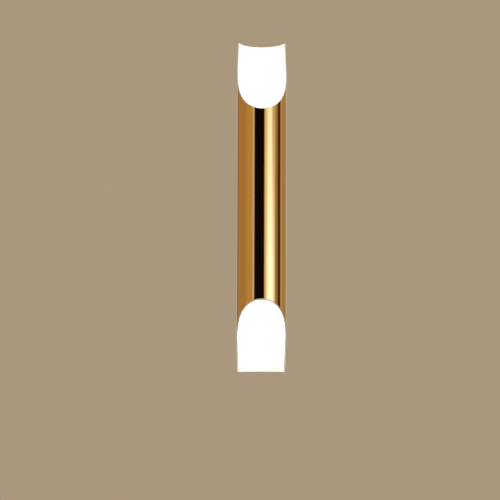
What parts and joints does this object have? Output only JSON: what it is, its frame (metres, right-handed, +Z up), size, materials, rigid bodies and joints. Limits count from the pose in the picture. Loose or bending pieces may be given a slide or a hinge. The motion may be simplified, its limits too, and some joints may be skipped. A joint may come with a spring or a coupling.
{
  "type": "tube wall light",
  "caption": "Vertical polished tube wall light, scooped open at both ends, with a plug-in lamp shining up and one shining down, on a hidden canopy and bracket.",
  "frame": {"origin": "middle of the bracket's two wall slots, on the wall plane, at the light's mid-height", "axes": "+Z up along the tube, +X to the right seen from the room, +Y into the wall; the front is -Y"},
  "size_m": [0.07, 0.09, 0.47],
  "materials": {
    "polished_gold": "polished",
    "white_reflector": "matte",
    "zinc_plate": "satin",
    "steel_wire": "satin",
    "terminal_brass": "satin",
    "tinned_copper": "satin",
    "lampholder_ceramic": "matte",
    "bulb_ceramic": "satin",
    "bulb_frost": "matte",
    "board_white": "satin",
    "chip_phosphor": "satin",
    "nylon": "satin",
    "live_insulation": "satin",
    "neutral_insulation": "satin",
    "earth_insulation": "satin"
  },
  "bodies": {
    "wall_light": {"canopy": "polished_gold", "canopy_lock_screws": "polished_gold", "cup_nuts": "zinc_plate", "cup_screws": "zinc_plate", "earth_lead": "earth_insulation", "earth_ring_terminals": "tinned_copper", "earth_screw": "terminal_brass", "earth_washer": "terminal_brass", "lower_lampholder": "lampholder_ceramic", "lower_lampholder_contacts": "terminal_brass", "lower_lampholder_nuts": "zinc_plate", "lower_lampholder_screws": "zinc_plate", "lower_live_lead": "live_insulation", "lower_neutral_lead": "neutral_insulation", "lower_reflector_cup": "white_reflector", "lower_saddle": "polished_gold", "terminal_barrels": "terminal_brass", "terminal_block": "nylon", "terminal_clamp_screws": "zinc_plate", "terminal_fixing_screw": "zinc_plate", "tube_body": "polished_gold", "tube_lock_washers": "zinc_plate", "tube_rivet_nuts": "zinc_plate", "tube_screws": "zinc_plate", "upper_lampholder": "lampholder_ceramic", "upper_lampholder_contacts": "terminal_brass", "upper_lampholder_nuts": "zinc_plate", "upper_lampholder_screws": "zinc_plate", "upper_live_lead": "live_insulation", "upper_neutral_lead": "neutral_insulation", "upper_reflector_cup": "white_reflector", "upper_saddle": "polished_gold", "wall_bracket": "zinc_plate", "wire_bushing": "nylon"},
    "upper_bulb": {"upper_bulb_base": "bulb_ceramic", "upper_bulb_cover": "bulb_frost", "upper_bulb_pins": "steel_wire", "upper_bulb_led_board": "board_white", "upper_bulb_led_chips": "chip_phosphor"},
    "lower_bulb": {"lower_bulb_base": "bulb_ceramic", "lower_bulb_cover": "bulb_frost", "lower_bulb_pins": "steel_wire", "lower_bulb_led_board": "board_white", "lower_bulb_led_chips": "chip_phosphor"}
  },
  "joints": [
    {"name": "upper_bulb_slide", "type": "slide", "parent": "wall_light", "child": "upper_bulb", "axis": [0, 0, 1], "range_m": [0, 0.125]},
    {"name": "lower_bulb_slide", "type": "slide", "parent": "wall_light", "child": "lower_bulb", "axis": [0, 0, -1], "range_m": [0, 0.125]}
  ]
}
